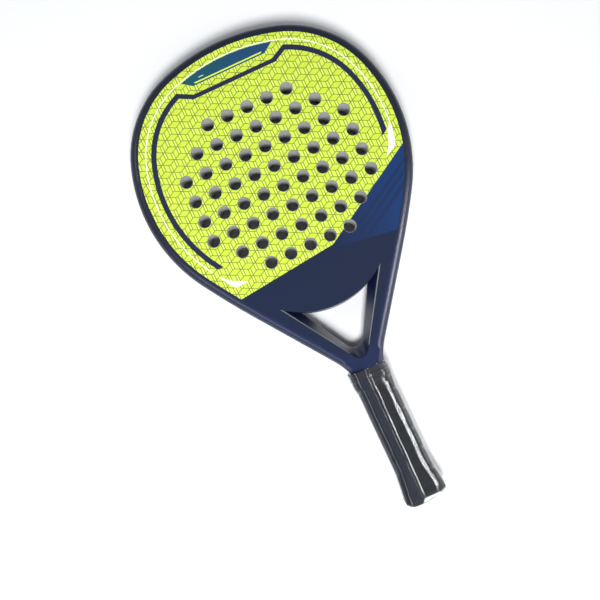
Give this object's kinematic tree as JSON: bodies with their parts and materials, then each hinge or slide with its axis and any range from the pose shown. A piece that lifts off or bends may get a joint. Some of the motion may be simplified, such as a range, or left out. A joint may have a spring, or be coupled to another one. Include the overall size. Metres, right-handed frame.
{
  "type": "padel racket",
  "caption": "Padel racket: a drilled face on a foam core in a tube frame, an open bridged throat, and a wrapped grip with its wrist strap folded flat under clear film.",
  "frame": {"origin": "centre of the bounding box across and along the racket, on the surface that its back face lies on", "axes": "+Y from the butt to the top of the head, +Z out of the front face, +X to the right as the front face is seen"},
  "size_m": [0.254, 0.4596, 0.038],
  "materials": {
    "frame_composite": "satin lacquer over carbon and glass laminate, navy black",
    "front_laminate": "satin printed lacquer, lime over navy and blue",
    "back_laminate": "satin printed lacquer, lime over navy and blue",
    "core_foam": "cut cellular foam, grey",
    "filler_foam": "moulded expanded foam",
    "pallet_foam": "moulded dense foam",
    "cap_plastic": "moulded, fine grain",
    "steel": "drawn wire, plain",
    "strap_webbing": "woven polyester tape",
    "grip_polyurethane": "soft synthetic leather, perforated",
    "tape_black": "thin adhesive vinyl tape",
    "collar_rubber": "moulded, satin",
    "clear_film": "clear heat-shrunk film, glossy and wrinkled"
  },
  "bodies": {
    "root": {"frame_tube": "frame_composite", "frame_foam": "filler_foam", "foam_core": "core_foam", "throat_bridge": "frame_composite", "bridge_foam": "filler_foam", "front_face": "front_laminate", "back_face": "back_laminate", "pallet_front": "pallet_foam", "pallet_back": "pallet_foam", "butt_cap": "cap_plastic", "cap_staples": "steel", "strap_pin": "steel", "wrist_strap": "strap_webbing", "grip_wrap": "grip_polyurethane", "grip_tack": "steel", "finishing_tape": "tape_black", "collar": "collar_rubber", "shrink_film": "clear_film"}
  },
  "joints": []
}
